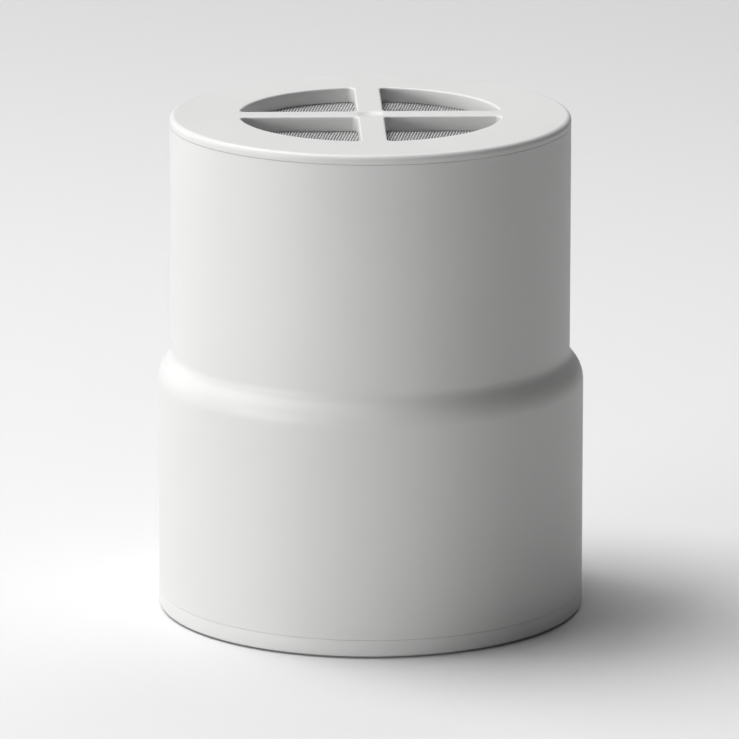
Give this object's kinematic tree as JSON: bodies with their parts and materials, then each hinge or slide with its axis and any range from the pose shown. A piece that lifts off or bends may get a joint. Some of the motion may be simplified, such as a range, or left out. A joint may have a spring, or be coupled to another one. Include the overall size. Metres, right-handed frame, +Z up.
{
  "type": "air purifier",
  "caption": "Small round tabletop air purifier with a stepped housing that lifts off its filter and base, and a recessed mesh outlet behind a cross in the top cover.",
  "frame": {"origin": "centre of the round footprint, on the floor under the rubber foot", "axes": "+Z is up along the body's axis, +Y points out of the back with the intake slots, button and power inlet, and +X is to the right seen from the front"},
  "size_m": [0.17, 0.17, 0.2],
  "materials": {
    "body_plastic": "satin, smooth",
    "inner_plastic": "satin",
    "fan_plastic": "semi-gloss",
    "foot_rubber": "matte",
    "seal_rubber": "matte",
    "foam": "open-cell foam",
    "filter_cap_plastic": "moulded, matte",
    "pleat_paper": "fibrous",
    "prefilter_fabric": "fine knitted mesh",
    "carbon": "carbon granules on a honeycomb",
    "tab_fabric": "woven ribbon",
    "mesh_fabric": "fine woven mesh",
    "steel": "zinc-plated",
    "nickel": "nickel-plated",
    "core_steel": "laminated",
    "ferrite": "matte",
    "copper": "enamelled wire",
    "board_laminate": "coated laminate",
    "component_black": "moulded",
    "connector_plastic": "moulded",
    "cable_jacket": "matte",
    "lens_plastic": "translucent"
  },
  "bodies": {
    "base": {"base_tray": "body_plastic", "rubber_foot": "foot_rubber", "base_magnets": "nickel", "filter_seat": "foam"},
    "filter": {"filter_bottom_cap": "filter_cap_plastic", "filter_top_cap": "filter_cap_plastic", "filter_pleats": "pleat_paper", "prefilter_sleeve": "prefilter_fabric", "carbon_core": "carbon", "filter_gasket": "foam", "filter_pull_tab": "tab_fabric"},
    "housing": {"outer_shell": "body_plastic", "keeper_plates": "steel", "fan_deck": "inner_plastic", "deck_screws": "steel", "inlet_guard": "fan_plastic", "duct_gasket": "foam", "duct_bushes": "seal_rubber", "fan_duct": "fan_plastic", "duct_screws": "steel", "acoustic_foam": "foam", "guide_vanes": "fan_plastic", "vane_screws": "steel", "hub_cone": "fan_plastic", "motor_core": "core_steel", "motor_coils": "copper", "motor_board": "board_laminate", "motor_bearings": "steel", "outlet_duct": "inner_plastic", "outlet_screws": "steel", "board_bracket": "inner_plastic", "control_board": "board_laminate", "board_chips": "component_black", "board_screws": "steel", "tact_switch": "component_black", "usb_socket": "steel", "usb_tongue": "component_black", "status_lens": "lens_plastic", "fan_cable": "cable_jacket", "cable_grommet": "seal_rubber", "cable_plugs": "connector_plastic"},
    "cover": {"top_cover": "body_plastic", "outlet_mesh": "mesh_fabric", "mesh_retainer": "inner_plastic", "retainer_screws": "steel", "cover_seal": "seal_rubber"},
    "fan_rotor": {"impeller": "fan_plastic", "rotor_cup": "core_steel", "rotor_magnets": "ferrite", "motor_shaft": "steel", "shaft_clip": "steel"},
    "button": {"power_button": "body_plastic"}
  },
  "joints": [
    {"name": "housing_lift", "type": "slide", "parent": "base", "child": "housing", "axis": [0, 0, 1], "range_m": [0, 0.24]},
    {"name": "filter_lift", "type": "slide", "parent": "base", "child": "filter", "axis": [0, 0, 1], "range_m": [0, 0.12]},
    {"name": "cover_lift", "type": "slide", "parent": "housing", "child": "cover", "axis": [0, 0, 1], "range_m": [0, 0.06]},
    {"name": "fan_spin", "type": "hinge", "parent": "housing", "child": "fan_rotor", "pos_m": [0, 0, 0.11], "axis": [0, 0, 1], "continuous": true},
    {"name": "button_press", "type": "slide", "parent": "housing", "child": "button", "axis": [0, -1, 0], "range_m": [0, 0.0012], "stiffness_N_per_m": 600, "springref_m": -0.0008}
  ],
  "couplings": [
    {"joint": "filter_lift", "follows": "housing_lift", "ratio": 0.5}
  ]
}
